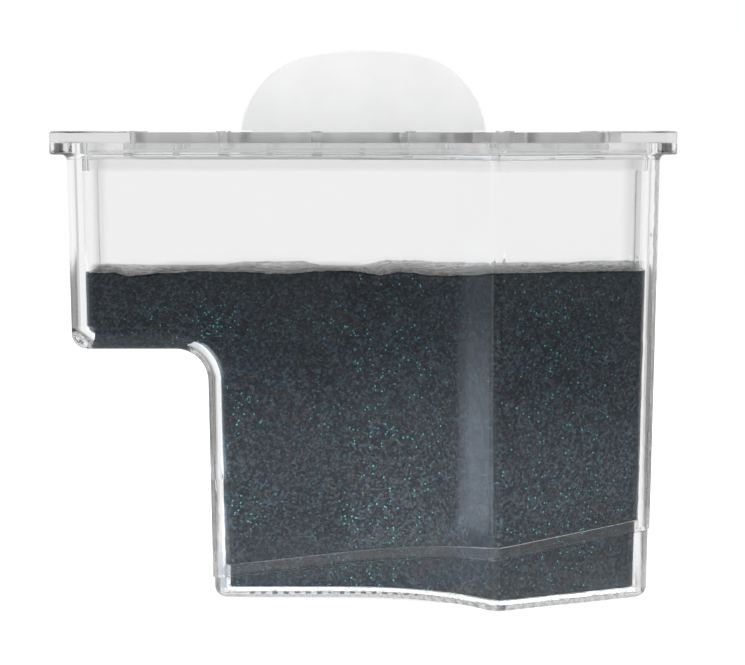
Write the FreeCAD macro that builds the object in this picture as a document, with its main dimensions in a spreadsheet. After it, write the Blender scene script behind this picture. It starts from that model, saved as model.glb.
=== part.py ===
import FreeCAD, Part
import os
import re

import Sketcher

V = FreeCAD.Vector
X_AXIS = V(1, 0, 0)
Y_AXIS = V(0, 1, 0)
Z_AXIS = V(0, 0, 1)

# Driving sizes of the cartridge in millimetres and degrees.
# X runs along the cartridge, Y from the front to the back, Z up from the flat base.
SIZES = {
    # plan of the moulded body, taken at the top of its rim
    "half_length": 67.8,
    "front_flat": 14.3,
    "back_flat": 31.4,
    "ridge_foot": 11.0,
    "ridge_centre": 29.7,
    "ridge_reach": 17.9,
    "right_setback": 1.9,
    "corner_round": 4.4,
    "corner_inner": 5.6,
    "ridge_round": 3.6,
    "ridge_foot_round": 40.0,
    "draft": 1.0,
    "wall": 1.8,
    # rim of the body
    "rim_top": 104.9,
    "flange_thick": 2.6,
    "overhang": 3.8,
    "flange_round": 0.6,
    "flange_fillet": 1.2,
    # step under the left end, seen from the front
    "step_height": 57.75,
    "step_wall": 35.8,
    "step_draft": 1.0,
    "step_inner_round": 7.5,
    "edge_round": 3.6,
    "edge_inner": 3.6,
    # slanted joint between the body and its base
    "seam_height": 8.7,
    "seam_slope": 6.4,
    "seam_gap": 0.1,
    "lap": 2.4,
    "lap_root": 0.5,
    "lap_clear": 0.1,
    "tongue_thick": 1.2,
    # base with its slotted floor and fleece
    "base_inset": 0.4,
    "base_floor": 1.7,
    "base_round": 2.6,
    "slot_margin": 6.8,
    "slot_width": 1.2,
    "slot_pitch": 2.6,
    "slot_bar": 2.0,
    "gate_width": 1.8,
    "gate_place": 6.6,
    "gate_depth": 0.5,
    "fleece_thick": 0.7,
    "fleece_clear": 0.3,
    # granules
    "bed_level": 75.0,
    "bed_clear": 0.25,
    # lid with its plug and sunk tray
    "lid_gap": 0.1,
    "lid_thick": 2.6,
    "lid_round": 0.5,
    "land_step": 0.3,
    "plug_depth": 6.3,
    "plug_clear": 0.15,
    "plug_wall": 1.6,
    "tray_half_length": 53.3,
    "tray_front": 9.6,
    "tray_back": 26.6,
    "tray_corner": 4.0,
    "tray_depth": 2.9,
    "tray_floor": 1.4,
    "tray_wall": 1.2,
    "bay_pitch": 21.3,
    "rib_width": 2.2,
    "rib_end": 2.2,
    "bar_width": 1.4,
    "strip_front": 0.6,
    "strip_back": 7.4,
    # screen under the tray and the studs that hold it
    "screen_thick": 0.6,
    "screen_clear": 0.3,
    "stud_radius": 0.8,
    "stud_clear": 0.1,
    "stud_head": 1.5,
    "stud_cap": 0.5,
    # pull tab and its hinge
    "hinge_place": 4.0,
    "knuckle_radius": 1.2,
    "pin_radius": 0.55,
    "pin_clear": 0.06,
    "ear_width": 2.4,
    "hinge_gap": 0.3,
    "tab_half_width": 28.7,
    "tab_side_round": 19.5,
    "tab_crown_round": 76.4,
    "tab_thick": 1.8,
    "tab_edge": 0.5,
}

BAYS = 5
WINDOWS_PER_BAY = 2

doc = FreeCAD.newDocument("FilterCartridge")
sheet = doc.addObject("Spreadsheet::Sheet", "Sizes")
for row, (alias, amount) in enumerate(SIZES.items(), start=1):
    sheet.set(f"A{row}", alias)
    sheet.set(f"B{row}", str(amount))
    sheet.setAlias(f"B{row}", alias)
doc.recompute()

# Levels, places and insets that several pieces share, as expressions over the sizes.
RIM_UNDER = "(rim_top - flange_thick)"
LID_UNDER = "(rim_top + lid_gap)"
LID_TOP = "(rim_top + lid_gap + lid_thick)"
TRAY_TOP = f"({LID_TOP} - tray_depth)"
TRAY_UNDER = f"({TRAY_TOP} - tray_floor)"
HINGE_LEVEL = f"({TRAY_TOP} + hinge_gap + knuckle_radius)"
KNUCKLE_END = "(tab_half_width - ear_width - hinge_gap)"
TONGUE_OUT = "(wall + lap_clear)"
TONGUE_IN = "(wall + lap_clear + tongue_thick)"
PLUG_OUT = "(wall + plug_clear)"
PLUG_IN = "(wall + plug_clear + plug_wall)"
BASE_IN = "(base_inset + wall)"
FLEECE_TOP = "(base_floor + fleece_thick)"
REACH = "(2 * half_length)"
GROUND_SHRINK = "(rim_top * tan(draft * 1 deg))"


def bind(text):
    # name each size in an expression as its cell in the sheet
    return re.sub(r"[a-z_]+", lambda m: f"Sizes.{m[0]}" if m[0] in SIZES else m[0], text)


def number(text):
    value = sheet.evalExpression(bind(text))
    return float(getattr(value, "Value", value))


def tie(item, **properties):
    for name, text in properties.items():
        item.setExpression(name.replace("__", "."), bind(text))


def place(item, x="0", y="0", z="0"):
    tie(item, Placement__Base__x=x, Placement__Base__y=y, Placement__Base__z=z)


def outline(name, points, level="0", upright=False):
    # closed polygon whose corners are tied to the sheet, flat or facing the front
    sketch = doc.addObject("Sketcher::SketchObject", name)
    if upright:
        sketch.Placement = FreeCAD.Placement(V(0, 0, 0), FreeCAD.Rotation(X_AXIS, 90))
    else:
        place(sketch, z=level)
    spots = [V(number(x), number(y), 0) for x, y in points]
    for side, spot in enumerate(spots):
        sketch.addGeometry(Part.LineSegment(spot, spots[(side + 1) % len(spots)]))
    for side in range(len(spots)):
        following = (side + 1) % len(spots)
        sketch.addConstraint(Sketcher.Constraint("Coincident", side, 2, following, 1))
    for side, (x, y) in enumerate(points):
        for kind, text in (("DistanceX", x), ("DistanceY", y)):
            hold(sketch, kind, side, 1, text)
    return sketch


def hold(sketch, kind, part, spot, text):
    # tie one coordinate of a point in a sketch to an expression
    amount = number(text)
    if amount >= 0:
        rule = Sketcher.Constraint(kind, -1, 1, part, spot, amount)
    else:
        rule = Sketcher.Constraint(kind, part, spot, -1, 1, -amount)
        text = f"-({text})"
    index = sketch.addConstraint(rule)
    sketch.renameConstraint(index, f"{kind}{part}_{spot}")
    sketch.setExpression(f"Constraints.{kind}{part}_{spot}", bind(text))


def grown(name, base, amount):
    ring = doc.addObject("Part::Offset2D", name)
    ring.Source = base
    ring.Join = "Intersection"
    tie(ring, Value=amount)
    return ring


def extruded(name, base, direction, length, taper=None, both_ways=False):
    solid = doc.addObject("Part::Extrusion", name)
    solid.Base = base
    solid.DirMode = "Custom"
    solid.Dir = direction
    solid.Solid = True
    solid.Symmetric = both_ways
    tie(solid, LengthFwd=length)
    if taper:
        tie(solid, TaperAngle=taper)
    return solid


def cut(name, base, tool):
    item = doc.addObject("Part::Cut", name)
    item.Base = base
    item.Tool = tool
    return item


def common(name, *shapes):
    item = doc.addObject("Part::MultiCommon", name)
    item.Shapes = list(shapes)
    return item


def fused(name, *shapes):
    item = doc.addObject("Part::MultiFuse", name)
    item.Shapes = list(shapes)
    item.Refine = True
    return item


def box(name, x_range, y_range, z_range):
    item = doc.addObject("Part::Box", name)
    (x0, x1), (y0, y1), (z0, z1) = x_range, y_range, z_range
    tie(item, Length=f"({x1}) - ({x0})", Width=f"({y1}) - ({y0})", Height=f"({z1}) - ({z0})")
    place(item, x0, y0, z0)
    return item


def rounded(name, base, picks):
    # picks is a list of edge numbers with their radii
    if not picks:
        return base
    item = doc.addObject("Part::Fillet", name)
    item.Base = base
    item.Edges = [(index, radius, radius) for index, radius in picks]
    doc.recompute()
    return item


def middle(edge):
    return edge.valueAt((edge.FirstParameter + edge.LastParameter) / 2)


def is_near(shape, point, tolerance=0.01):
    return shape.distToShape(Part.Vertex(point))[0] < tolerance


def level_edges(shape, level):
    # numbers of the edges that lie in one horizontal plane
    found = []
    for index, edge in enumerate(shape.Edges, start=1):
        if max(abs(v.Z - level) for v in edge.Vertexes) < 0.01 and abs(middle(edge).z - level) < 0.01:
            found.append(index)
    return found


# The plan's corners run from the back of the left end round the front, with each corner's
# radius and 1 where the corner points outwards or -1 where it points inwards.
PLAN = [
    ("-half_length", "-front_flat", "corner_round", 1),
    ("ridge_foot", "-front_flat", "ridge_foot_round", -1),
    ("ridge_centre", "-front_flat - ridge_reach", "ridge_round", 1),
    ("half_length", "-front_flat + right_setback", "corner_round", 1),
    ("half_length", "back_flat", "corner_round", 1),
    ("-half_length", "back_flat", "corner_round", 1),
]


def plan_sketch(name, level):
    return outline(name, [(x, y) for x, y, radius, sense in PLAN], level)


def is_inner(growth):
    # the inside of the walls has rounder corners than the outside
    return number(growth) <= 0.01 - number("wall")


def corner_picks(shape, growth):
    # the standing edges of a block on the plan, with the radius that belongs to each
    picks = []
    tall = 0.8 * shape.BoundBox.ZLength
    for index, edge in enumerate(shape.Edges, start=1):
        if edge.BoundBox.ZLength < tall:
            continue
        top = max(edge.Vertexes, key=lambda v: v.Z).Point

        def span(corner):
            return (top.x - number(corner[0])) ** 2 + (top.y - number(corner[1])) ** 2

        x, y, radius, sense = min(PLAN, key=span)
        if radius == "corner_round" and is_inner(growth):
            radius = "corner_inner + wall"
        amount = number(f"{radius} + ({growth}) * {sense}")
        if amount > 0.2:
            picks.append((index, amount))
    return picks


def block(name, plan, growth, direction, length, taper=None, shrink="0"):
    # a prism on the plan, grown or shrunk sideways, with its standing edges rounded;
    # a further shrink for the draft above or below the plan leaves the corners' radii as they are
    change = f"({growth}) - {shrink}"
    base = plan if change == "(0) - 0" else grown(f"{name}_plan", plan, change)
    prism = extruded(f"{name}_prism", base, direction, length, taper)
    doc.recompute()
    return rounded(f"{name}_block", prism, corner_picks(prism.Shape, growth))


def step_prism(name, growth):
    # the space under the left end, grown where the chamber shrinks
    base = STEP if growth == "0" else grown(f"{name}_outline", STEP, growth)
    prism = extruded(f"{name}_prism", base, Y_AXIS, REACH, both_ways=True)
    doc.recompute()
    corner = V(-number("step_wall"), 0, number("step_height"))
    across = [(i, e) for i, e in enumerate(prism.Shape.Edges, start=1) if e.BoundBox.YLength > 1]
    nearest = min(across, key=lambda pair: (middle(pair[1]) - corner).Length)
    return rounded(f"{name}_step", prism, [(nearest[0], number(f"step_inner_round + ({growth})"))])


def edge_radius(inset):
    # rounding of the edges beside the step, at an inset from the outer face
    return f"edge_inner + wall - {inset}" if is_inner(f"-{inset}") else f"edge_round - {inset}"


def chamber(name, inset):
    # the whole body's form, shrunk by an inset, from the rim's top down to the ground
    shrink = "0" if inset == "0" else f"-{inset}"
    whole = block(name, RIM_PLAN, shrink, -Z_AXIS, "rim_top", "-draft")
    step = step_prism(f"{name}_under", inset)
    stepped = cut(f"{name}_stepped", whole, step)
    doc.recompute()
    radius = number(edge_radius(inset))
    picks = []
    far_left = stepped.Shape.BoundBox.XMin + 2
    for index, edge in enumerate(stepped.Shape.Edges, start=1):
        spot = middle(edge)
        across = edge.BoundBox.YLength > 1 and edge.BoundBox.XLength < 0.5 and edge.BoundBox.ZLength < 0.01
        if radius < 0.2 or (across and spot.x > far_left) or not is_near(step.Shape, spot):
            continue
        picks.append((index, radius))
    return rounded(f"{name}_chamber", stepped, picks)


def floor_layer(name, inset, low, high):
    # a level layer near the ground, an inset away from the body's outer face
    plan = plan_sketch(f"{name}_level", low)
    layer = block(name, plan, f"-{inset}", Z_AXIS, f"{high} - {low}", shrink=GROUND_SHRINK)
    side = f"-step_wall + step_height * tan(step_draft * 1 deg) + {inset}"
    kept = common(f"{name}_kept", layer, box(f"{name}_side", (side, REACH), SPAN, (low, high)))
    doc.recompute()
    radius = number(edge_radius(inset))
    picks = []
    for index, edge in enumerate(kept.Shape.Edges, start=1):
        if edge.BoundBox.ZLength > 0.01 and middle(edge).x < number(side) + 0.01 and radius > 0.2:
            picks.append((index, radius))
    return rounded(f"{name}_layer", kept, picks)


def below_seam(name, rise):
    # everything under the slanted joint, raised by an amount
    side = "(2 * half_length * tan(seam_slope * 1 deg))"
    points = [
        (f"-{REACH}", "-step_height"),
        (REACH, "-step_height"),
        (REACH, f"seam_height + {rise} + {side}"),
        (f"-{REACH}", f"seam_height + {rise} - {side}"),
    ]
    return extruded(name, outline(f"{name}_outline", points, upright=True), Y_AXIS, REACH, both_ways=True)


RIM_PLAN = plan_sketch("rim_plan", "rim_top")
FLANGE_PLAN = plan_sketch("flange_plan", RIM_UNDER)
LID_PLAN = plan_sketch("lid_plan", LID_UNDER)
STEP = outline(
    "step_outline",
    [
        (f"-{REACH}", "-step_height"),
        ("-step_wall + 2 * step_height * tan(step_draft * 1 deg)", "-step_height"),
        ("-step_wall", "step_height"),
        (f"-{REACH}", "step_height"),
    ],
    upright=True,
)
SPAN = (f"-{REACH}", REACH)
doc.recompute()


def make_housing_shell():
    outside = chamber("body_outside", "0")
    inside = chamber("body_inside", "wall")
    flange = block("flange", FLANGE_PLAN, "overhang", Z_AXIS, "flange_thick")
    under = number(RIM_UNDER)
    lower = [(index, number("flange_round")) for index in level_edges(flange.Shape, under)]
    lip = rounded("flange_lip", flange, lower)
    joined = fused("body_and_flange", outside, lip)
    doc.recompute()
    picks = []
    for index in level_edges(joined.Shape, under):
        if is_near(outside.Shape, middle(joined.Shape.Edges[index - 1])):
            picks.append((index, number("flange_fillet")))
    body = rounded("body_solid", joined, picks)
    hollow = cut("body_hollow", body, inside)
    return cut("housing_shell", hollow, below_seam("under_body", "0"))


def make_base_cap():
    outside = chamber("base_outside", "base_inset")
    ground = level_edges(outside.Shape, 0)
    foot = rounded("base_foot", outside, [(index, number("base_round")) for index in ground])
    shell = common("base_body", foot, below_seam("under_seam", "-seam_gap"))
    floor = box("base_floor_slab", SPAN, SPAN, ("-rim_top", "base_floor"))
    hollow = cut("base_hollow", chamber("base_inside", BASE_IN), floor)
    cup = cut("base_cup", shell, hollow)
    band = common("tongue_band", chamber("tongue_outside", TONGUE_OUT), below_seam("under_tongue", "lap"))
    band = cut("tongue_above_root", band, below_seam("under_root", "-lap_root"))
    tongue = cut("tongue", band, chamber("tongue_inside", TONGUE_IN))
    joined = fused("base_joined", cup, tongue)
    slotted = cut("base_slotted", joined, make_slots())
    gate = box(
        "gate_mark",
        ("-gate_place - gate_width / 2", "-gate_place + gate_width / 2"),
        (f"-{REACH}", f"-front_flat + {GROUND_SHRINK} + base_inset + gate_depth"),
        ("base_floor / 3", "base_floor"),
    )
    return cut("base_cap", slotted, gate)


def make_slots():
    # rows of slots across the floor, kept a margin away from the walls, with a bar between
    low, high = "-base_floor", "2 * base_floor"
    zone = floor_layer("slot_zone", "slot_margin", low, high)
    left = number("-step_wall + slot_margin + slot_pitch")
    right = number("half_length - slot_margin")
    count = int((right - left) // number("slot_pitch"))
    slots = []
    for turn in range(count):
        start = f"-step_wall + slot_margin + slot_pitch * {turn + 1}"
        for row, span in enumerate(((f"-{REACH}", "-slot_bar / 2"), ("slot_bar / 2", REACH))):
            y_range = tuple(f"{end} + (back_flat - front_flat) / 2" for end in span)
            x_range = (start, f"{start} + slot_width")
            slots.append(box(f"slot_{turn}_{row}", x_range, y_range, (low, high)))
    comb = doc.addObject("Part::Compound", "slot_comb")
    comb.Links = slots
    return common("slots", comb, zone)


def make_outlet_screen():
    layer = floor_layer("fleece", f"({BASE_IN} + fleece_clear)", "base_floor", FLEECE_TOP)
    layer.Label = "outlet_screen"
    return layer


def make_carbon_bed():
    # wide above the joint's tongue, narrower below it so that the base can be drawn off
    level = box("bed_slab", SPAN, SPAN, (f"{FLEECE_TOP} + seam_gap", "bed_level"))
    wide = chamber("bed_wide", "(wall + bed_clear)")
    upper = cut("bed_upper", wide, below_seam("under_bed", "(lap + bed_clear)"))
    narrow = chamber("bed_narrow", f"({TONGUE_IN} + bed_clear)")
    return common("carbon_bed", fused("bed_joined", upper, narrow), level)


def make_lid_frame():
    plate = block("lid_plate", LID_PLAN, "overhang", Z_AXIS, "lid_thick")
    top = level_edges(plate.Shape, number(LID_TOP))
    plate = rounded("lid_plate_lip", plate, [(index, number("lid_round")) for index in top])
    half = "tray_half_length"
    sunk = box("land_cut", (f"-{half}", half), SPAN, (f"{LID_TOP} - land_step", f"{LID_TOP} + lid_thick"))
    plug_out = block("plug_outside", LID_PLAN, f"-{PLUG_OUT}", -Z_AXIS, "plug_depth + lid_gap", "-draft")
    plug_in = block("plug_inside", LID_PLAN, f"-{PLUG_IN}", -Z_AXIS, "plug_depth + lid_gap", "-draft")
    plug = cut("plug_ring", plug_out, plug_in)
    pan = box(
        "tray_pan",
        (f"-{half} - tray_wall", f"{half} + tray_wall"),
        ("-tray_front - tray_wall / 2", "tray_back + tray_wall / 2"),
        (TRAY_UNDER, LID_UNDER),
    )
    solid = fused("lid_solid", cut("lid_lowered", plate, sunk), plug, pan)
    sunk_height = (TRAY_TOP, f"{LID_TOP} + lid_thick")
    hollow = box("tray_hollow", (f"-{half}", half), ("-tray_front", "tray_back"), sunk_height)
    doc.recompute()
    standing = [i for i, e in enumerate(hollow.Shape.Edges, start=1) if e.BoundBox.ZLength > 1]
    recess = rounded("tray_recess", hollow, [(index, number("tray_corner")) for index in standing])
    open_lid = cut("lid_recessed", solid, recess)
    windows = cut("lid_windows", open_lid, make_windows())
    ribbed = fused("lid_ribbed", windows, *make_ribs(plate), *make_ears(), *make_studs())
    bore = axle("ear_bore", "pin_radius", "tab_half_width + hinge_gap")
    return cut("lid_frame", ribbed, bore)


def make_windows():
    columns = BAYS * WINDOWS_PER_BAY
    pitch = f"bay_pitch / {WINDOWS_PER_BAY}"
    back_row = "((tray_back - bar_width / 2 - strip_back - bar_width) / 2)"
    rows = [
        ("-tray_front + bar_width / 2", "strip_front"),
        ("strip_back", f"strip_back + {back_row}"),
        (f"strip_back + {back_row} + bar_width", "tray_back - bar_width / 2"),
    ]
    windows = []
    for column in range(columns):
        left = f"{pitch} * {column - columns / 2} + bar_width / 2"
        for row, y_range in enumerate(rows):
            x_range = (left, f"{left} + {pitch} - bar_width")
            z_range = (f"{TRAY_UNDER} - 1", f"{TRAY_TOP} + 0.2")
            windows.append(box(f"window_{column}_{row}", x_range, y_range, z_range))
    grid = doc.addObject("Part::Compound", "window_grid")
    grid.Links = windows
    return grid


def make_ribs(plate):
    # ribs between the bays run from the lid's front edge to the foot of the tab
    ribs = []
    for turn in range(1, BAYS):
        middle_x = f"bay_pitch * {turn - BAYS / 2}"
        x_range = (f"{middle_x} - rib_width / 2", f"{middle_x} + rib_width / 2")
        upper = box(f"rib_upper_{turn}", x_range, (f"-{REACH}", "rib_end"), (LID_UNDER, LID_TOP))
        ribs.append(common(f"rib_top_{turn}", upper, plate))
        lower_z = (f"{TRAY_TOP} - tray_floor / 2", f"{LID_UNDER} + land_step")
        ribs.append(box(f"rib_foot_{turn}", x_range, ("-tray_front", "rib_end"), lower_z))
    return ribs


def axle(name, radius, half_width):
    # a round bar along the hinge line
    bar = doc.addObject("Part::Cylinder", name)
    bar.Placement = FreeCAD.Placement(V(0, 0, 0), FreeCAD.Rotation(Y_AXIS, 90))
    tie(bar, Radius=radius, Height=f"2 * ({half_width})")
    place(bar, f"-({half_width})", "hinge_place", HINGE_LEVEL)
    return bar


def make_ears():
    # two ears stand on the tray's middle strip and carry the hinge pin
    ears = []
    y_range = ("hinge_place - knuckle_radius", "hinge_place + knuckle_radius")
    z_range = (f"{TRAY_TOP} - tray_floor / 2", HINGE_LEVEL)
    for side, inner in (("left", "-tab_half_width"), ("right", "tab_half_width - ear_width")):
        ears.append(box(f"ear_foot_{side}", (inner, f"{inner} + ear_width"), y_range, z_range))
        knuckle = axle(f"ear_round_{side}", "knuckle_radius", "ear_width / 2")
        place(knuckle, inner, "hinge_place", HINGE_LEVEL)
        ears.append(knuckle)
    return ears


def stud_places():
    return [f"bay_pitch * {turn - (BAYS - 1) / 2}" for turn in range(BAYS)]


def round_post(name, x, radius, z_range):
    post = doc.addObject("Part::Cylinder", name)
    low, high = z_range
    tie(post, Radius=radius, Height=f"({high}) - ({low})")
    place(post, x, "hinge_place", low)
    return post


def make_studs():
    # studs pass through the screen and are flattened under it
    posts = []
    under = f"{TRAY_UNDER} - screen_thick - stud_clear"
    shank = (f"{under} - stud_cap", f"{TRAY_UNDER} + tray_floor / 2")
    head = (f"{under} - stud_cap", under)
    for turn, x in enumerate(stud_places()):
        posts.append(round_post(f"stud_{turn}", x, "stud_radius", shank))
        posts.append(round_post(f"stud_head_{turn}", x, "stud_head", head))
    return posts


def make_inlet_screen():
    half = "(tray_half_length - screen_clear)"
    y_range = ("-tray_front + screen_clear", "tray_back - screen_clear")
    sheet_box = box("screen_sheet", (f"-{half}", half), y_range, (f"{TRAY_UNDER} - screen_thick", TRAY_UNDER))
    holes = doc.addObject("Part::Compound", "screen_holes")
    z_range = (f"{TRAY_UNDER} - 2 * screen_thick", f"{TRAY_UNDER} + screen_thick")
    holes.Links = [
        round_post(f"screen_hole_{turn}", x, "stud_radius + stud_clear", z_range)
        for turn, x in enumerate(stud_places())
    ]
    return cut("inlet_screen", sheet_box, holes)


def body_plane(body, role):
    return next(item for item in body.Origin.OriginFeatures if item.Role == role)


def body_sketch(body, name, role, offset):
    sketch = body.newObject("Sketcher::SketchObject", name)
    sketch.AttachmentSupport = [(body_plane(body, role), "")]
    sketch.MapMode = "FlatFace"
    tie(sketch, AttachmentOffset__Base__z=offset)
    return sketch


def make_pull_tab():
    body = doc.addObject("PartDesign::Body", "pull_tab")
    face = body_sketch(body, "tab_outline", "XZ_Plane", "-hinge_place")
    shelf = f"({HINGE_LEVEL} + knuckle_radius + hinge_gap)"
    axis_z, shelf_z = number(HINGE_LEVEL), number(shelf)
    knuckle_x = number(KNUCKLE_END)
    side_r, crown_r = number("tab_side_round"), number("tab_crown_round")
    side_x = number("tab_half_width") - side_r
    crown_drop = ((crown_r - side_r) ** 2 - side_x**2) ** 0.5
    crown_z = axis_z - crown_drop
    rise = shelf_z - axis_z
    shelf_x = side_x + (side_r**2 - rise**2) ** 0.5
    touch = V(side_x, crown_drop, 0).normalize()
    right = V(side_x, axis_z, 0)
    crown = V(0, crown_z, 0)

    def arc(centre, radius, start, end):
        circle = Part.Circle(centre, V(0, 0, 1), radius)
        return Part.ArcOfCircle(circle, circle.parameter(start), circle.parameter(end))

    def mirror(point):
        return V(-point.x, point.y, 0)

    shoulder = right + touch * side_r
    corner = V(shelf_x, shelf_z, 0)
    foot, step = V(knuckle_x, axis_z, 0), V(knuckle_x, shelf_z, 0)
    face.addGeometry(Part.LineSegment(mirror(foot), foot))
    face.addGeometry(Part.LineSegment(foot, step))
    face.addGeometry(Part.LineSegment(step, corner))
    face.addGeometry(arc(right, side_r, corner, shoulder))
    face.addGeometry(arc(crown, crown_r, shoulder, mirror(shoulder)))
    face.addGeometry(arc(mirror(right), side_r, mirror(shoulder), mirror(corner)))
    face.addGeometry(Part.LineSegment(mirror(corner), mirror(step)))
    face.addGeometry(Part.LineSegment(mirror(step), mirror(foot)))
    lines = 8
    for part in range(lines):
        kind = "Tangent" if part in (3, 4) else "Coincident"
        face.addConstraint(Sketcher.Constraint(kind, part, 2, (part + 1) % lines, 1))
    hold(face, "DistanceX", 0, 1, f"-{KNUCKLE_END}")
    hold(face, "DistanceX", 0, 2, KNUCKLE_END)
    for part, spot in ((0, 1), (0, 2), (3, 3), (5, 3)):
        hold(face, "DistanceY", part, spot, HINGE_LEVEL)
    for part, spot in ((1, 2), (2, 2), (6, 1), (7, 1)):
        hold(face, "DistanceY", part, spot, shelf)
    hold(face, "DistanceX", 1, 2, KNUCKLE_END)
    hold(face, "DistanceX", 7, 1, f"-{KNUCKLE_END}")
    hold(face, "DistanceX", 3, 3, "tab_half_width - tab_side_round")
    hold(face, "DistanceX", 5, 3, "-(tab_half_width - tab_side_round)")
    for part, text in ((3, "tab_side_round"), (5, "tab_side_round"), (4, "tab_crown_round")):
        index = face.addConstraint(Sketcher.Constraint("Radius", part, number(text)))
        face.renameConstraint(index, f"Radius{part}")
        face.setExpression(f"Constraints.Radius{part}", bind(text))
    blade = body.newObject("PartDesign::Pad", "tab_blade")
    blade.Profile = face
    blade.Midplane = True
    tie(blade, Length="tab_thick")

    knuckle = body_sketch(body, "tab_knuckle_outline", "YZ_Plane", "0")
    add_circle(knuckle, "knuckle_radius")
    roll = body.newObject("PartDesign::Pad", "tab_knuckle")
    roll.Profile = knuckle
    roll.Midplane = True
    tie(roll, Length=f"2 * {KNUCKLE_END}")

    eye = body_sketch(body, "tab_bore_outline", "YZ_Plane", "0")
    add_circle(eye, "pin_radius + pin_clear")
    bore = body.newObject("PartDesign::Pocket", "tab_bore")
    bore.Profile = eye
    bore.Midplane = True
    tie(bore, Length=f"2 * {REACH}")
    doc.recompute()

    rim = []
    for index, edge in enumerate(bore.Shape.Edges, start=1):
        spot = middle(edge)
        curved = "Circle" in type(edge.Curve).__name__
        if curved and edge.BoundBox.YLength < 0.01 and spot.z > shelf_z + 1:
            rim.append(f"Edge{index}")
    soft = body.newObject("PartDesign::Fillet", "tab_edges")
    soft.Base = (bore, rim)
    tie(soft, Radius="tab_edge")
    body.Tip = soft
    return body


def add_circle(sketch, radius):
    # a circle about the hinge line
    place_y, place_z = number("hinge_place"), number(HINGE_LEVEL)
    sketch.addGeometry(Part.Circle(V(place_y, place_z, 0), V(0, 0, 1), number(radius)))
    hold(sketch, "DistanceX", 0, 3, "hinge_place")
    hold(sketch, "DistanceY", 0, 3, HINGE_LEVEL)
    index = sketch.addConstraint(Sketcher.Constraint("Radius", 0, number(radius)))
    sketch.renameConstraint(index, "Radius0")
    sketch.setExpression("Constraints.Radius0", bind(radius))


def make_hinge_pin():
    return axle("tab_hinge_pin", "pin_radius", "tab_half_width")


pieces = [
    make_housing_shell(),
    make_carbon_bed(),
    make_base_cap(),
    make_outlet_screen(),
    make_lid_frame(),
    make_inlet_screen(),
    make_pull_tab(),
    make_hinge_pin(),
]
doc.recompute()

for item in doc.Objects:
    if "Invalid" in item.State or "Error" in item.State:
        raise RuntimeError(f"{item.Name} failed: {item.State}")
for piece in pieces:
    shape = piece.Shape
    if shape.isNull() or not shape.isValid():
        raise RuntimeError(f"{piece.Label} has no sound shape")
    print(piece.Label, round(shape.Volume), "mm3", len(shape.Solids), "solid", shape.BoundBox)

os.makedirs("parts", exist_ok=True)
for piece in pieces:
    piece.Shape.exportStep(f"parts/{piece.Label}.step")
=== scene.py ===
import math

import bmesh
import bpy
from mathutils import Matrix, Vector, noise


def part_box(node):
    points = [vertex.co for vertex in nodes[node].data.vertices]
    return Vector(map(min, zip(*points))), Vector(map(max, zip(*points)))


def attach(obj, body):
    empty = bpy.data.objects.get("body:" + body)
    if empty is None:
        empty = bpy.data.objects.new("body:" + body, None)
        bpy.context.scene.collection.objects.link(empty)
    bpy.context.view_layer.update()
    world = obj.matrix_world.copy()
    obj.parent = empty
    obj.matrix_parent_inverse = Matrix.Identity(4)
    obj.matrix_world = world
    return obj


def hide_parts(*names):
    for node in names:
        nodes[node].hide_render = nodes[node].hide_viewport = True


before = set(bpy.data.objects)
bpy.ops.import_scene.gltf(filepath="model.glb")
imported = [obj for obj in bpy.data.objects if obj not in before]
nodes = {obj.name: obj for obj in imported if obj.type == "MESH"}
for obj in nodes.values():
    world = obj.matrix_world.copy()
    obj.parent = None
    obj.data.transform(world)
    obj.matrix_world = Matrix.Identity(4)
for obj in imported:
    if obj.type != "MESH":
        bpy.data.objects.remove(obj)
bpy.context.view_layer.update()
print("frame loaded:", len(nodes), "solids")


# the camera stands level with the lid and looks slightly down
camera = {
    "pixelsWide": 745,
    "focalPixels": 2379,
    "sensor": 36.0,
    "tiltDown": 4.84,
    "place": (0.0021, -0.5543, 0.1076),
    "clip": (0.01, 50.0),
}


def makeCamera():
    data = bpy.data.cameras.new("camera")
    data.sensor_width = camera["sensor"]
    data.lens = camera["focalPixels"] * camera["sensor"] / camera["pixelsWide"]
    data.clip_start, data.clip_end = camera["clip"]
    item = bpy.data.objects.new("camera", data)
    item.location = camera["place"]
    item.rotation_euler = (math.radians(90 - camera["tiltDown"]), 0, 0)
    bpy.context.scene.collection.objects.link(item)
    bpy.context.scene.camera = item


# small helpers for node trees
def addNode(tree, kind, **values):
    node = tree.nodes.new(kind)
    for name, value in values.items():
        setattr(node, name, value)
    return node


def feed(target, value):
    # links a value that comes from another node, sets a plain one, gives a colour its alpha
    if isinstance(value, bpy.types.NodeSocket):
        target.id_data.links.new(value, target)
    elif isinstance(value, tuple):
        target.default_value = (*value, 1)
    else:
        target.default_value = value


def feedInOrder(node, *values):
    for target, value in zip(node.inputs, values):
        feed(target, value)
    return node


def setInputs(node, **values):
    for name, value in values.items():
        feed(node.inputs[name.replace("_", " ")], value)
    return node


def newMaterial(name):
    material = bpy.data.materials.new(name)
    material.use_nodes = True
    tree = material.node_tree
    tree.nodes.clear()
    return material, tree, addNode(tree, "ShaderNodeOutputMaterial")


def mathNode(tree, operation, first, second=0.0):
    return feedInOrder(addNode(tree, "ShaderNodeMath", operation=operation), first, second).outputs[0]


def plus(tree, first, second):
    return mathNode(tree, "ADD", first, second)


def minus(tree, first, second):
    return mathNode(tree, "SUBTRACT", first, second)


def times(tree, first, *others):
    for other in others:
        first = mathNode(tree, "MULTIPLY", first, other)
    return first


def rampNode(tree, value, low, high, start=0.0, end=1.0):
    # a soft step from start to end as value goes from low to high
    node = addNode(tree, "ShaderNodeMapRange", interpolation_type="SMOOTHSTEP")
    setInputs(node, Value=value, From_Min=low, From_Max=high, To_Min=start, To_Max=end)
    return node.outputs["Result"]


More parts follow.
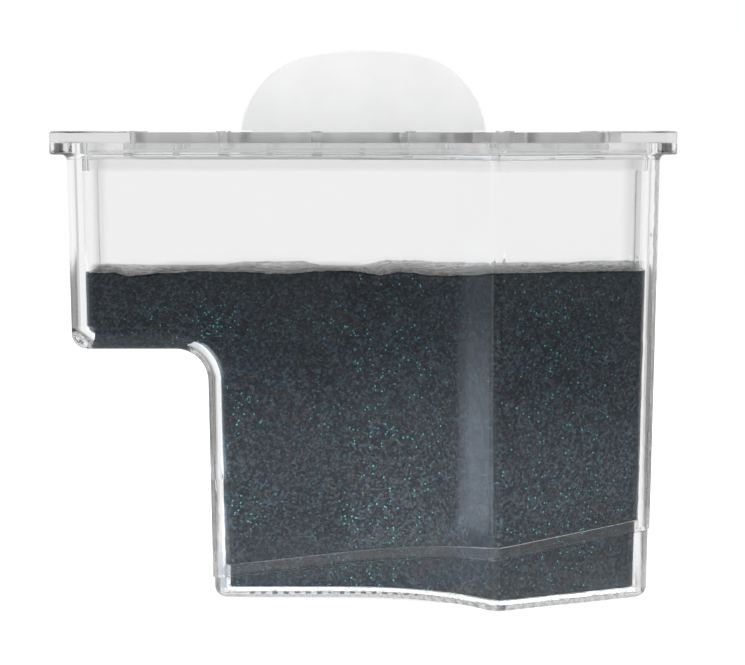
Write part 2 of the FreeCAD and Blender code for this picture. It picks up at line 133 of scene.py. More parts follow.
def objectPlace(tree):
    return addNode(tree, "ShaderNodeTexCoord").outputs["Object"]


def splitPlace(tree, place):
    return setInputs(addNode(tree, "ShaderNodeSeparateXYZ"), Vector=place).outputs


def mixColours(tree, mask, first, second):
    node = addNode(tree, "ShaderNodeMix", data_type="RGBA")
    return setInputs(node, Factor=mask, A=first, B=second).outputs["Result"]


def mixShaders(tree, mask, first, second):
    return feedInOrder(addNode(tree, "ShaderNodeMixShader"), mask, first, second).outputs[0]


def mirroredMask(tree):
    # 1 for light that a glossy or glassy face has turned back at least once
    path = addNode(tree, "ShaderNodeLightPath")
    return mathNode(tree, "GREATER_THAN", path.outputs["Glossy Depth"], 0.5)


def rayMask(tree, *names):
    # 1 for any of the named kinds of ray
    path = addNode(tree, "ShaderNodeLightPath")
    mask = path.outputs[names[0]]
    for name in names[1:]:
        mask = mathNode(tree, "MAXIMUM", mask, path.outputs[name])
    return mask


# the unevenness that all the part's finishes have: a noise, a soft share of it and its relief
mottleInputs = {
    "Place": "NodeSocketVector",
    "Scale": "NodeSocketFloat",
    "Detail": "NodeSocketFloat",
    "Distortion": "NodeSocketFloat",
    "Low": "NodeSocketFloat",
    "High": "NodeSocketFloat",
    "Strength": "NodeSocketFloat",
    "Relief": "NodeSocketFloat",
}
mottleOutputs = {"Level": "NodeSocketFloat", "Share": "NodeSocketFloat", "Normal": "NodeSocketVector"}


def makeMottle():
    group = bpy.data.node_groups.new("mottle", "ShaderNodeTree")
    for way, sockets in (("INPUT", mottleInputs), ("OUTPUT", mottleOutputs)):
        for name, kind in sockets.items():
            group.interface.new_socket(name, in_out=way, socket_type=kind)
    given = addNode(group, "NodeGroupInput").outputs
    cloud = setInputs(
        addNode(group, "ShaderNodeTexNoise"),
        Vector=given["Place"],
        Scale=given["Scale"],
        Detail=given["Detail"],
        Distortion=given["Distortion"],
    )
    level = cloud.outputs["Fac"]
    share = rampNode(group, level, given["Low"], given["High"])
    bump = setInputs(
        addNode(group, "ShaderNodeBump"),
        Strength=given["Strength"],
        Distance=given["Relief"],
        Height=level,
    )
    setInputs(addNode(group, "NodeGroupOutput"), Level=level, Share=share, Normal=bump.outputs["Normal"])
    return group


def addMottle(tree, place, scale, detail, distortion=0.0, between=(0.0, 1.0), strength=0.0, relief=0.0):
    node = addNode(tree, "ShaderNodeGroup", node_tree=mottle)
    setInputs(node, Place=place, Scale=scale, Detail=detail, Distortion=distortion)
    setInputs(node, Low=between[0], High=between[1], Strength=strength, Relief=relief)
    return node.outputs


# a plain studio: a white tabletop and a white room
studio = {
    "backdropLevel": 1.0,
    "diffuseLevel": 0.96,
    "gleamLow": 0.12,  # what gloss sees of the dim side of the room
    "gleamAbove": 1.0,
    "gleamAboveTurn": (0.12, 0.8),
    # round the object: bright to both sides, a darker stretch, then what lies right behind
    "gleamSides": 0.96,
    "gleamSidesTurn": (-0.1, 0.02),
    "gleamGap": 0.66,
    "gleamGapTurn": (0.28, 0.42),
    "gleamBehind": 0.95,
    "gleamBehindTurn": (0.52, 0.62),
    "tableRadius": 1.2,
    "tableSides": 128,
    "tableGap": 0.0005,
    "tableColour": (0.86, 0.86, 0.86),
    "tableGlow": 0.45,
    # what gloss sees of the table: near the object, in front of it and behind it
    "tableNear": 0.65,
    "tableNearReach": (0.05, 0.12),
    "tableFront": (0.42, 0.08),
    "tableFrontReach": (0.1, 0.5),
    "tableBehind": 0.3,
    # a soft low light on the left, stronger near the object, shows in the ridge's flank
    "flankPlace": (0.0225, -0.0275),
    "glowTurn": (-0.27, -0.06),
    "glowLevels": (1.62, 0.36),
    "glowReach": (0.06, 0.7),
    "glowStart": (0.04, 0.1),
    "glowColour": (0.86, 0.98, 1.14),
    "plainColour": (1.0, 1.0, 1.0),
}


def plainLight(tree, level):
    # a white background of one strength, or of a strength that changes with direction
    node = setInputs(addNode(tree, "ShaderNodeBackground"), Color=studio["plainColour"], Strength=level)
    return node.outputs[0]


def roundGleam(tree, heading, low, behind):
    # level of the mirrored room by how far a heading turns from the camera's side to the back
    gap = studio["gleamGap"]
    sides = rampNode(tree, heading, *studio["gleamSidesTurn"], low, studio["gleamSides"])
    middle = rampNode(tree, heading, *studio["gleamGapTurn"], 1.0, gap)
    share = rampNode(tree, heading, *studio["gleamBehindTurn"])
    change = times(tree, minus(tree, behind, gap), share)
    return plus(tree, mathNode(tree, "MINIMUM", sides, middle), change)


def makeWorld():
    world = bpy.data.worlds.new("studio")
    world.use_nodes = True
    tree = world.node_tree
    tree.nodes.clear()
    output = addNode(tree, "ShaderNodeOutputWorld")
    heading = splitPlace(tree, addNode(tree, "ShaderNodeTexCoord").outputs["Generated"])
    low = studio["gleamLow"]
    above = rampNode(tree, heading["Z"], *studio["gleamAboveTurn"], low, studio["gleamAbove"])
    around = roundGleam(tree, heading["Y"], low, studio["gleamBehind"])
    gleam = plainLight(tree, mathNode(tree, "MAXIMUM", above, around))
    soft = plainLight(tree, studio["diffuseLevel"])
    white = plainLight(tree, studio["backdropLevel"])
    shown = mixShaders(tree, mirroredMask(tree), white, gleam)
    setInputs(output, Surface=mixShaders(tree, rayMask(tree, "Is Diffuse Ray"), shown, soft))
    bpy.context.scene.world = world


def tableGleam(tree):
    # level and tint of the table where gloss mirrors it
    place = objectPlace(tree)
    spot = splitPlace(tree, place)
    length = setInputs(addNode(tree, "ShaderNodeVectorMath", operation="LENGTH"), Vector=place)
    reach = length.outputs["Value"]
    turn = setInputs(addNode(tree, "ShaderNodeVectorMath", operation="NORMALIZE"), Vector=place)
    heading = splitPlace(tree, turn.outputs["Vector"])["Y"]
    away = rampNode(tree, reach, *studio["tableNearReach"])
    near = rampNode(tree, reach, *studio["tableNearReach"], studio["tableNear"], 0.0)
    around = times(tree, roundGleam(tree, heading, 0.0, studio["tableBehind"]), away)
    front = times(tree, rampNode(tree, reach, *studio["tableFrontReach"], *studio["tableFront"]), away)
    level = plus(tree, near, mathNode(tree, "MAXIMUM", around, front))
    # the glow lies where a line from the ridge's flank runs far enough to the left
    flankX, flankY = studio["flankPlace"]
    slope = mathNode(tree, "DIVIDE", minus(tree, spot["Y"], flankY), minus(tree, flankX, spot["X"]))
    left = mathNode(tree, "LESS_THAN", spot["X"], 0.0)
    ahead = mathNode(tree, "LESS_THAN", heading, 0.0)
    share = times(tree, rampNode(tree, slope, *studio["glowTurn"]), left, ahead)
    glow = rampNode(tree, reach, *studio["glowReach"], *studio["glowLevels"])
    glow = times(tree, glow, rampNode(tree, reach, *studio["glowStart"]), share)
    tint = mixColours(tree, share, studio["plainColour"], studio["glowColour"])
    return mathNode(tree, "MAXIMUM", level, glow), tint


def makeTablePaper():
    material, tree, output = newMaterial("tablePaper")
    # found by the rays themselves, so that mirrored light always reads the mirrored level
    material.cycles.emission_sampling = "NONE"
    paper = setInputs(addNode(tree, "ShaderNodeBsdfDiffuse"), Color=studio["tableColour"]).outputs[0]
    shine = setInputs(addNode(tree, "ShaderNodeEmission"), Strength=studio["tableGlow"]).outputs[0]
    bright = feedInOrder(addNode(tree, "ShaderNodeAddShader"), paper, shine).outputs[0]
    level, tint = tableGleam(tree)
    mirrored = setInputs(addNode(tree, "ShaderNodeEmission"), Strength=level, Color=tint).outputs[0]
    shown = mixShaders(tree, mirroredMask(tree), bright, mirrored)
    setInputs(output, Surface=mixShaders(tree, rayMask(tree, "Is Diffuse Ray"), shown, paper))
    return material


def makeTable():
    mesh = bpy.data.meshes.new("table")
    form = bmesh.new()
    sides, radius = studio["tableSides"], studio["tableRadius"]
    bmesh.ops.create_circle(form, cap_ends=True, segments=sides, radius=radius)
    form.to_mesh(mesh)
    form.free()
    mesh.materials.append(makeTablePaper())
    table = bpy.data.objects.new("table", mesh)
    table.location = (0, 0, -studio["tableGap"])
    bpy.context.scene.collection.objects.link(table)
    # the table stays under the base when that is drawn down off the housing
    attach(table, "base")


# soft lamps to both sides and overhead, a low strip in front and a faint one low on the left
lamps = {
    "side": {
        "place": (0.55, -0.1, 0.2),
        "target": (0.0, 0.0, 0.06),
        "power": 0.8,
        "size": (0.3, 0.5),
        "spread": 180,
        "colour": (1.0, 1.0, 1.0),
    },
    "overhead": {
        "place": (0.0, -0.15, 0.75),
        "target": (0.0, 0.0, 0.05),
        "power": 0.22,
        "size": (0.6, 0.6),
        "spread": 180,
        "colour": (1.0, 1.0, 1.0),
    },
    "foot": {
        "place": (-0.05, -0.31, 0.015),
        "target": (-0.02, 0.0, -0.005),
        "power": 0.21,
        "size": (0.3, 0.03),
        "spread": 30,
        "colour": (1.0, 1.0, 1.0),
    },
    "flank": {
        "place": (-0.3, -0.022, 0.02),
        "target": (0.025, -0.027, 0.01),
        "power": 0.03,
        "size": (0.02, 0.03),
        "spread": 30,
        "colour": (1.0, 0.99, 0.96),
    },
}


def addLamp(name, look, side=1):
    data = bpy.data.lights.new(name, "AREA")
    data.shape = "RECTANGLE"
    data.size, data.size_y = look["size"]
    data.energy = look["power"]
    data.color = look["colour"]
    data.spread = math.radians(look["spread"])
    x, y, z = look["place"]
    place = Vector((side * x, y, z))
    lamp = bpy.data.objects.new(name, data)
    lamp.location = place
    lamp.rotation_euler = (Vector(look["target"]) - place).to_track_quat("-Z", "Y").to_euler()
    lamp.visible_camera = False
    lamp.visible_glossy = False
    lamp.visible_transmission = False
    bpy.context.scene.collection.objects.link(lamp)


def makeLamps():
    addLamp("leftLamp", lamps["side"], -1)
    addLamp("rightLamp", lamps["side"])
    for name in ("overhead", "foot", "flank"):
        addLamp(f"{name}Lamp", lamps[name])


makeCamera()
makeWorld()
makeTable()
makeLamps()
mottle = makeMottle()
print("camera and studio ready")


# carbon granules: slate, sea-green and warm dark grains, with a few teal glints painted in as highlights
carbon = {
    "dark": (0.005, 0.007, 0.010),
    "slate": (0.034, 0.046, 0.066),
    "sea": (0.026, 0.053, 0.062),
    "warm": (0.034, 0.033, 0.034),
    "glint": (0.08, 0.62, 0.58),
    "grain": 1900.0,
    "fineGrain": 4200.0,
    "fineShare": 0.4,
    "slateFrom": (0.3, 0.4),
    "seaFrom": (0.7, 0.8),
    "contrast": 3.0,
    "brightness": 2.3,
    "patch": 420.0,
    "patchDetail": 3.0,
    "patchRange": (0.3, 0.7),
    "patchLevels": (0.75, 1.25),
    "glintGrain": 2600.0,
    "glintShare": (0.955, 1.0),
    # more glints are painted where the grains catch the light, in upright bands
    "glintMiddle": 0.0038,
    "glintPitch": 0.041,
    "glintBand": 0.022,
    "glintEdge": (0.12, 0.5),
    "gloss": 0.3,
    "roughness": 0.42,
    "bump": 0.7,
    "relief": 0.00008,
    # the upper face is smoother, most so towards the back, where its haze fades into the wall
    "topTurn": (0.6, 0.9),
    "topReach": (0.0, 0.026),
    "topRoughness": (0.15, 0.04),
    "topBump": 0.25,
    # the filling level and the upper face's grid step in metres, then heights over that level
    # in millimetres along the front wall and along the back wall, as pairs of x and height
    "level": 0.075,
    "gridStep": 0.0009,
    "frontLine": [
        (-64.0, 0.4),
        (-57.7, 0.5),
        (-53.0, -0.4),
        (-46.0, 0.3),
        (-38.0, 0.8),
        (-28.0, 0.65),
        (-21.0, 0.2),
        (-9.0, 0.75),
        (-2.0, 0.7),
        (3.8, 0.0),
        (8.4, 0.65),
        (17.5, 0.1),
        (25.0, 0.5),
        (30.0, 1.2),
        (44.0, 1.3),
        (48.0, 1.0),
        (64.0, 0.8),
    ],
    "backLine": [
        (-64.0, 0.1),
        (-36.0, -0.1),
        (-28.0, 0.8),
        (-16.0, 0.8),
        (-10.0, -0.2),
        (-1.0, -0.1),
        (6.4, 1.0),
        (14.0, 1.0),
        (19.0, 0.5),
        (48.0, 0.5),
        (55.0, 1.0),
        (64.0, 1.0),
    ],
    "lineHeights": (-1.0, 2.0),  # lowest and highest that the lines may reach
    "depthRange": (-0.012, 0.029),
    "grit": 0.00022,
    "gritSize": 900.0,
    "gritSlice": 1.7,
    "swell": 0.0002,
    "swellSize": 90.0,
    "swellSlice": 0.3,
    # where the granules lie on the step's floor they touch it
    "stepAbove": 0.05,
    "settle": 0.00028,
    "settleDown": (0.02, 0.2),
    "settleAcross": (0.25, 0.5),
    "smoothAngle": 40,
}


# clear moulded plastic, the same recipe for the housing, its base and the lid
clear = {
    "housing": {"tint": (0.99, 0.99, 0.99), "roughness": 0.045, "depth": 6.0},
    "base": {"tint": (0.98, 0.98, 0.98), "roughness": 0.06, "depth": 10.0},
    "lid": {"tint": (0.99, 0.99, 0.99), "roughness": 0.08, "depth": 38.0},
    "bend": 1.47,
    "absorbed": (0.875, 0.877, 0.875),
    "shadow": (0.94, 0.94, 0.94),
    "black": (0.0, 0.0, 0.0),
    "rippleSize": 90.0,
    "rippleDetail": 1.5,
    "rippleStrength": 1.0,
    "rippleHeight": 0.000006,
    # painted shade: the housing's back corners are a little darker
    "cornerReach": (0.0625, 0.0665),
    "cornerBack": (0.0, 0.02),
    "paintedCornerShade": 0.78,
    # painted shade darkens the housing just above the granules, higher up on the front wall
    "shadeReachFront": 0.0028,
    "shadeReachBack": 0.0016,
    "shadeStart": (-0.0004, 0.0002),
    "shadeSides": (0.0605, 0.0625),
    "shadeTintFront": 0.45,
    "shadeTintBack": 0.95,
    "shadeSplit": 0.008,
    "shadeWave": 140.0,
    "shadeDetail": 3.0,
    "shadeWander": 0.0005,
    "noiseMiddle": 0.5,  # the level that a noise wanders round
    # the lid's sunk walls are matt, with painted shade that darkens them, less where the ribs meet them
    "recessHalf": (0.0536, 0.0183),
    "recessMiddle": 0.0085,
    "recessFloor": 0.1049,
    "recessShadeColour": (0.4, 0.4, 0.4),
    "recessRoughness": 0.34,
    "ribPitch": 0.0213,
    "ribEdge": (0.0004, 0.0018),
    "ribFlare": 0.4,
    "ribShow": 0.22,
    "barShow": 0.1,
}


def recessMask(tree, place):
    # 1 on the walls of the lid's recess, where shade is painted, a little less at its ribs and bars
    x, y, z = splitPlace(tree, place)
    halfX, halfY = clear["recessHalf"]
    along = mathNode(tree, "ABSOLUTE", minus(tree, y, clear["recessMiddle"]))
    height = minus(tree, z, clear["recessFloor"])
    mask = mathNode(tree, "LESS_THAN", mathNode(tree, "ABSOLUTE", x), halfX)
    mask = times(tree, mask, mathNode(tree, "LESS_THAN", along, halfY))
    mask = times(tree, mask, mathNode(tree, "GREATER_THAN", height, 0.0))
    ribs = (clear["ribPitch"], clear["ribShow"])
    bars = (clear["ribPitch"] / 2, clear["barShow"])
    for pitch, show in (ribs, bars):
        turn = mathNode(tree, "FRACT", mathNode(tree, "DIVIDE", x, pitch))
        offset = times(tree, mathNode(tree, "ABSOLUTE", minus(tree, turn, 0.5)), pitch)
        beside = minus(tree, offset, times(tree, height, clear["ribFlare"]))
        mask = times(tree, mask, rampNode(tree, beside, *clear["ribEdge"], 1 - show, 1.0))
    return mask


def lineCurve(tree, x, line):
    # the height over the filling level, in metres, that a line of the granules has at x
    reach = line[-1][0]
    lowest, highest = carbon["lineHeights"]
    span = highest - lowest
    node = addNode(tree, "ShaderNodeFloatCurve")
    curve = node.mapping.curves[0]
    points = [((spot + reach) / (2 * reach), (height - lowest) / span) for spot, height in line]
    curve.points[0].location = points[0]
    curve.points[1].location = points[-1]
    for point in points[1:-1]:
        curve.points.new(*point)
    node.mapping.update()
    setInputs(node, Value=mathNode(tree, "DIVIDE", plus(tree, x, reach / 1000), 2 * reach / 1000))
    return plus(tree, times(tree, node.outputs[0], span / 1000), lowest / 1000)


def paintedShadeAboveGranules(tree, place):
    # 1 on plain wall, less just above the granules, where shade is painted
    x, y, z = splitPlace(tree, place)
    back = mathNode(tree, "GREATER_THAN", y, clear["shadeSplit"])
    front = lineCurve(tree, x, carbon["frontLine"])
    rear = lineCurve(tree, x, carbon["backLine"])
    line = plus(tree, front, times(tree, back, minus(tree, rear, front)))
    wander = addMottle(tree, place, clear["shadeWave"], clear["shadeDetail"])["Level"]
    wander = times(tree, minus(tree, wander, clear["noiseMiddle"]), clear["shadeWander"])
    above = minus(tree, minus(tree, z, carbon["level"]), plus(tree, line, wander))
    reach = times(tree, back, clear["shadeReachBack"] - clear["shadeReachFront"])
    reach = plus(tree, reach, clear["shadeReachFront"])
    darkened = rampNode(tree, mathNode(tree, "DIVIDE", above, reach), 0.0, 1.0, 1.0, 0.0)
    darkened = times(tree, darkened, rampNode(tree, above, *clear["shadeStart"]))
    across = mathNode(tree, "ABSOLUTE", x)
    darkened = times(tree, darkened, rampNode(tree, across, *clear["shadeSides"], 1.0, 0.0))
    amount = times(tree, back, clear["shadeTintFront"] - clear["shadeTintBack"])
    amount = plus(tree, amount, 1 - clear["shadeTintFront"])
    return minus(tree, 1.0, times(tree, darkened, amount))


def paintedCornerShade(tree, place):
    # 1 on plain wall, less on the back corners, where shade is painted
    spot = splitPlace(tree, place)
    side = rampNode(tree, mathNode(tree, "ABSOLUTE", spot["X"]), *clear["cornerReach"])
    corner = times(tree, side, rampNode(tree, spot["Y"], *clear["cornerBack"]))
    return minus(tree, 1.0, times(tree, corner, 1 - clear["paintedCornerShade"]))


def makeClear(name, look, recess=False, shaded=False):
    material, tree, output = newMaterial(name)
    shell = addNode(tree, "ShaderNodeBsdfPrincipled")
    setInputs(shell, Base_Color=look["tint"], Roughness=look["roughness"])
    setInputs(shell, IOR=clear["bend"], Transmission_Weight=1.0)
    place = objectPlace(tree)
    ripple = addMottle(
        tree,
        place,
        clear["rippleSize"],
        clear["rippleDetail"],
        strength=clear["rippleStrength"],
        relief=clear["rippleHeight"],
    )
    setInputs(shell, Normal=ripple["Normal"])
    if recess:
        mask = recessMask(tree, place)
        # painted shade: the walls of the lid's recess are darkened in the base colour
        matt = times(tree, mask, clear["recessRoughness"])
        setInputs(shell, Base_Color=mixColours(tree, mask, look["tint"], clear["recessShadeColour"]))
        setInputs(shell, Roughness=plus(tree, matt, look["roughness"]))
    if shaded:
        # painted shade: the housing's back corners and the wall just above the granules are darkened
        shade = times(tree, paintedCornerShade(tree, place), paintedShadeAboveGranules(tree, place))
        setInputs(shell, Base_Color=mixColours(tree, shade, clear["black"], look["tint"]))
    passed = setInputs(addNode(tree, "ShaderNodeBsdfTransparent"), Color=clear["shadow"])
    mask = rayMask(tree, "Is Shadow Ray", "Is Diffuse Ray")
    inside = addNode(tree, "ShaderNodeVolumeAbsorption")
    setInputs(inside, Density=look["depth"], Color=clear["absorbed"])
    surface = mixShaders(tree, mask, shell.outputs[0], passed.outputs[0])
    setInputs(output, Surface=surface, Volume=inside.outputs[0])
    return material


def cells(tree, place, scale):
    # grains of one size: their distance field and three random shares each
    node = setInputs(addNode(tree, "ShaderNodeTexVoronoi"), Scale=scale, Vector=place)
    shares = feedInOrder(addNode(tree, "ShaderNodeSeparateColor"), node.outputs["Color"])
    return node.outputs["Distance"], shares.outputs


def grainColour(tree, place, grain, fine):
    # three hues of grain, each lighter or darker, in lighter and darker patches
    patch = addMottle(tree, place, carbon["patch"], carbon["patchDetail"])["Level"]
    hue = mixColours(tree, rampNode(tree, grain[2], *carbon["slateFrom"]), carbon["warm"], carbon["slate"])
    hue = mixColours(tree, rampNode(tree, grain[2], *carbon["seaFrom"]), hue, carbon["sea"])
    coarse = times(tree, grain[0], 1 - carbon["fineShare"])
    level = plus(tree, coarse, times(tree, fine[0], carbon["fineShare"]))
    level = times(tree, mathNode(tree, "POWER", level, carbon["contrast"]), carbon["brightness"])
    level = times(tree, level, rampNode(tree, patch, *carbon["patchRange"], *carbon["patchLevels"]))
    return mixColours(tree, level, carbon["dark"], hue)


def glintMask(tree, place):
    # 1 on the few grains that get a painted glint
    relief, glint = cells(tree, place, carbon["glintGrain"])
    turn = minus(tree, splitPlace(tree, place)["X"], carbon["glintMiddle"])
    band = mathNode(tree, "COSINE", times(tree, turn, 2 * math.pi / carbon["glintPitch"]))
    share = plus(tree, glint[1], times(tree, band, carbon["glintBand"]))
    shine = rampNode(tree, share, *carbon["glintShare"])
    return times(tree, shine, rampNode(tree, relief, *carbon["glintEdge"], 1.0, 0.0))


def makeCarbon():
    material, tree, output = newMaterial("carbonGranules")
    shell = setInputs(addNode(tree, "ShaderNodeBsdfPrincipled"), Specular_IOR_Level=carbon["gloss"])
    place = objectPlace(tree)
    relief, grain = cells(tree, place, carbon["grain"])
    fineRelief, fine = cells(tree, place, carbon["fineGrain"])
    tone = grainColour(tree, place, grain, fine)
    # painted highlights: the teal glints are mixed into the base colour
    setInputs(shell, Base_Color=mixColours(tree, glintMask(tree, place), tone, carbon["glint"]))
    facing = splitPlace(tree, addNode(tree, "ShaderNodeTexCoord").outputs["Normal"])["Z"]
    upward = rampNode(tree, facing, *carbon["topTurn"])
    sheen = rampNode(tree, splitPlace(tree, place)["Y"], *carbon["topReach"], *carbon["topRoughness"])
    sheen = times(tree, minus(tree, sheen, carbon["roughness"]), upward)
    setInputs(shell, Roughness=plus(tree, sheen, carbon["roughness"]))
    bump = addNode(tree, "ShaderNodeBump")
    strength = rampNode(tree, facing, *carbon["topTurn"], carbon["bump"], carbon["topBump"])
    height = plus(tree, relief, times(tree, fineRelief, carbon["fineShare"]))
    setInputs(bump, Strength=strength, Distance=carbon["relief"], Height=height)
    setInputs(shell, Normal=bump.outputs["Normal"])
    setInputs(output, Surface=shell.outputs[0])
    return material


def softStep(value, low, high):
    share = min(max((value - low) / (high - low), 0.0), 1.0)
    return share * share * (3 - 2 * share)


def heightAlong(line, x):
    # height at x on a line of pairs, eased from one to the next
    for (lowX, low), (highX, high) in zip(line, line[1:]):
        if x <= highX:
            return low + (high - low) * softStep(x, lowX, highX)
    return line[-1][1]


def bedHeight(x, y):
    # waves, a slow swell and grit over the filling level
    front = heightAlong(carbon["frontLine"], 1000 * x) / 1000
    back = heightAlong(carbon["backLine"], 1000 * x) / 1000
    rise = front + (back - front) * softStep(y, *carbon["depthRange"])
    rise += carbon["swell"] * noise.noise(Vector((x, y, carbon["swellSlice"])) * carbon["swellSize"])
    rise += carbon["grit"] * noise.noise(Vector((x, y, carbon["gritSlice"])) * carbon["gritSize"])
    return rise


# how near two points lie that count as one, and how near a point lies to its level or cut
slack = {"merge": 1e-6, "level": 1e-5, "cut": 1e-7}


def copyOf(node):
    # a solid's mesh with its loose triangles joined
    form = bmesh.new()
    form.from_mesh(nodes[node].data)
    bmesh.ops.remove_doubles(form, verts=form.verts, dist=slack["merge"])
    return form


def finishPiece(name, form, material, body, smoothAngle):
    mesh = bpy.data.meshes.new(name)
    form.to_mesh(mesh)
    form.free()
    mesh.shade_smooth()
    mesh.set_sharp_from_angle(angle=math.radians(smoothAngle))
    mesh.materials.append(material)
    item = bpy.data.objects.new(name, mesh)
    bpy.context.scene.collection.objects.link(item)
    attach(item, body)
    return item


def cutTop(form, top, axis, place):
    # one cut across the upper face, square to an axis
    faces = [f for f in form.faces if min(v.co.z for v in f.verts) > top - slack["level"]]
    parts = set(faces)
    for face in faces:
        parts.update(face.edges)
        parts.update(face.verts)
    across = Vector((0.0, 0.0, 0.0))
    across[axis] = 1.0
    spot = across * place
    bmesh.ops.bisect_plane(form, geom=list(parts), dist=slack["cut"], plane_co=spot, plane_no=across)


def makeGranuleBed():
    form = copyOf("carbon_bed")
    low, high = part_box("carbon_bed")
    top = high[2]
    for axis in (0, 1):
        place = low[axis] + carbon["gridStep"]
        while place < high[axis]:
            cutTop(form, top, axis, place)
            place += carbon["gridStep"]
    form.normal_update()
    for vert in form.verts:
        if vert.co.z > top - slack["level"]:
            vert.co.z += bedHeight(vert.co.x, vert.co.y)
        elif vert.co.z > carbon["stepAbove"] and vert.normal.z < 0:
            share = softStep(-vert.normal.z, *carbon["settleDown"])
            share *= 1 - softStep(abs(vert.normal.x), *carbon["settleAcross"])
            vert.co += vert.normal * carbon["settle"] * share
    bed = finishPiece("granuleBed", form, makeCarbon(), "housing", carbon["smoothAngle"])
    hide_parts("carbon_bed")


# pale, slightly cloudy plastic of the pull tab and its pin
tab = {
    "colour": (0.91, 0.91, 0.912),
    "cloud": (0.865, 0.866, 0.87),
    "cloudSize": 85.0,
    "cloudDetail": 4.0,
    "cloudRange": (0.3, 0.75),
    "roughness": (0.38, 0.48),
    "roughnessRange": (0.3, 0.7),
    "grain": 1400.0,
    "grainDetail": 2.0,
    "grainStrength": 0.6,
    "relief": 0.000012,
}


def makeTabPlastic():
    material, tree, output = newMaterial("tabPlastic")
    shell = addNode(tree, "ShaderNodeBsdfPrincipled")
    place = objectPlace(tree)
    cloud = addMottle(tree, place, tab["cloudSize"], tab["cloudDetail"], between=tab["cloudRange"])
    grain = addMottle(
        tree,
        place,
        tab["grain"],
        tab["grainDetail"],
        strength=tab["grainStrength"],
        relief=tab["relief"],
    )
    setInputs(shell, Base_Color=mixColours(tree, cloud["Share"], tab["colour"], tab["cloud"]))
    setInputs(shell, Roughness=rampNode(tree, cloud["Level"], *tab["roughnessRange"], *tab["roughness"]))
    setInputs(shell, Normal=grain["Normal"])
    setInputs(output, Surface=shell.outputs[0])
    return material


def dress(node, material):
    item = nodes[node]
    item.data.materials.clear()
    item.data.materials.append(material)


def makeCloth(name, look):
    # a material of fibres or strands, in two tones and with their relief
    material, tree, output = newMaterial(name)
    shell = addNode(tree, "ShaderNodeBsdfPrincipled")
    setInputs(shell, Roughness=look["roughness"], Sheen_Weight=look["sheen"])
    fibre = addMottle(
        tree,
        objectPlace(tree),
        look["fibre"],
        look["fibreDetail"],
        look["fibreTwist"],
        look["toneRange"],
        look["fibreStrength"],
        look["relief"],
    )
    setInputs(shell, Base_Color=mixColours(tree, fibre["Share"], look["shade"], look["colour"]))
    setInputs(shell, Normal=fibre["Normal"])
    setInputs(output, Surface=shell.outputs[0])
    return material


# felted fleece between the slotted floor and the granules, a little clear of both
fleece = {
    "colour": (0.6, 0.61, 0.61),
    "shade": (0.45, 0.46, 0.46),
    "roughness": 0.95,
    "sheen": 0.3,
    "fibre": 1500.0,
    "fibreDetail": 5.0,
    "fibreTwist": 2.5,
    "fibreStrength": 0.8,
    "toneRange": (0.3, 0.65),
    "relief": 0.00008,
    "gap": 0.00006,
    "fluff": 0.00006,
    "fluffSize": 700.0,
    "edgeStep": 0.0015,
    "flatAngle": 2,
    "smoothAngle": 35,
}


def makeFleece():
    form = copyOf("outlet_screen")
    flat = math.radians(fleece["flatAngle"])
    bmesh.ops.dissolve_limit(form, angle_limit=flat, verts=form.verts, edges=form.edges)
    low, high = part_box("outlet_screen")
    step = fleece["edgeStep"]
    level = [e for e in form.edges if abs(e.verts[0].co.z - e.verts[1].co.z) < slack["level"]]
    for edge in [e for e in level if e.calc_length() > step]:
        parts = int(edge.calc_length() / step)
        bmesh.ops.subdivide_edges(form, edges=[edge], cuts=parts, use_grid_fill=False)
    form.normal_update()
    middle = (low[2] + high[2]) / 2
    for vert in form.verts:
        side = Vector((vert.normal.x, vert.normal.y, 0))
        push = noise.noise(vert.co * fleece["fluffSize"])
        vert.co += side * fleece["fluff"] * push
        if vert.co.z < middle:
            vert.co.z += fleece["gap"] + fleece["fluff"] * abs(push)
    bmesh.ops.triangulate(form, faces=[f for f in form.faces if len(f.verts) > 4])
    felt = makeCloth("fleece", fleece)
    piece = finishPiece("fleeceLayer", form, felt, "base", fleece["smoothAngle"])
    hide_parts("outlet_screen")


# woven screen under the lid's windows, with holes round the studs that hold it
screen = {
    "pitch": 0.0012,
    "thread": 0.00034,
    "weave": 0.00007,
    "studPitch": 0.0213,
    "studPlace": 0.004,
    "studCount": 5,
    "studClear": 0.0012,
    "below": 0.00012,
    "colour": (0.8, 0.82, 0.82),
    "shade": (0.66, 0.69, 0.7),
    "roughness": 0.5,
    "sheen": 0.0,
    "fibre": 5200.0,
    "fibreDetail": 2.0,
    "fibreTwist": 0.0,
    "fibreStrength": 0.5,
    "toneRange": (0.3, 0.7),
    "relief": 0.00002,
    "smoothAngle": 50,
}


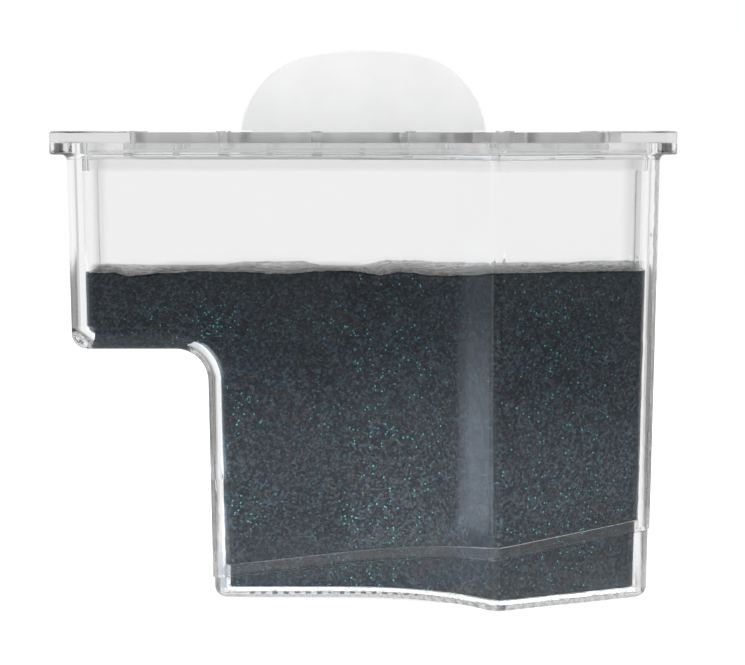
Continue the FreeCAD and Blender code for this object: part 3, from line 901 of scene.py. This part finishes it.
def nearStud(face):
    middle = face.calc_center_median()
    first = -(screen["studCount"] - 1) / 2
    for turn in range(screen["studCount"]):
        stud = Vector((screen["studPitch"] * (first + turn), screen["studPlace"]))
        if (stud - middle.xy).length < screen["studClear"]:
            return True
    return False


def makeScreen():
    # a grid whose crossings rise and fall by turns, made into threads
    low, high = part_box("inlet_screen")
    spanX, spanY = high[0] - low[0], high[1] - low[1]
    countX, countY = round(spanX / screen["pitch"]), round(spanY / screen["pitch"])
    form = bmesh.new()
    bmesh.ops.create_grid(form, x_segments=countX, y_segments=countY, size=0.5)
    bmesh.ops.scale(form, verts=form.verts, vec=(spanX, spanY, 1))
    for vert in form.verts:
        column = round((vert.co.x / spanX + 0.5) * countX)
        row = round((vert.co.y / spanY + 0.5) * countY)
        vert.co.z += screen["weave"] * (1 if (column + row) % 2 else -1)
    middle = [(start + end) / 2 for start, end in zip(low, high)]
    middle[2] -= screen["below"]
    bmesh.ops.translate(form, verts=form.verts, vec=middle)
    bmesh.ops.delete(form, geom=[f for f in form.faces if nearStud(f)], context="FACES")
    bmesh.ops.wireframe(
        form,
        faces=form.faces,
        thickness=screen["thread"],
        offset=0.0,
        use_replace=True,
        use_boundary=True,
        use_even_offset=True,
        use_relative_offset=False,
    )
    bmesh.ops.recalc_face_normals(form, faces=form.faces)
    print("screen threads:", len(form.faces), "faces")
    weave = makeCloth("screenMesh", screen)
    piece = finishPiece("screenWeave", form, weave, "lid", screen["smoothAngle"])
    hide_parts("inlet_screen")


dress("housing_shell", makeClear("housingPlastic", clear["housing"], shaded=True))
dress("base_cap", makeClear("basePlastic", clear["base"]))
dress("lid_frame", makeClear("lidPlastic", clear["lid"], recess=True))
makeGranuleBed()
makeFleece()
makeScreen()
print("granules, fleece and screen in place")
tabPlastic = makeTabPlastic()
dress("pull_tab", tabPlastic)
dress("tab_hinge_pin", tabPlastic)
print("solids dressed")

# clear walls one behind another need many bounces
bounces = {
    "max_bounces": 32,
    "glossy_bounces": 24,
    "transmission_bounces": 24,
    "transparent_max_bounces": 24,
}
scene = bpy.context.scene
scene.view_settings.view_transform = "Standard"
for name, count in bounces.items():
    setattr(scene.cycles, name, count)
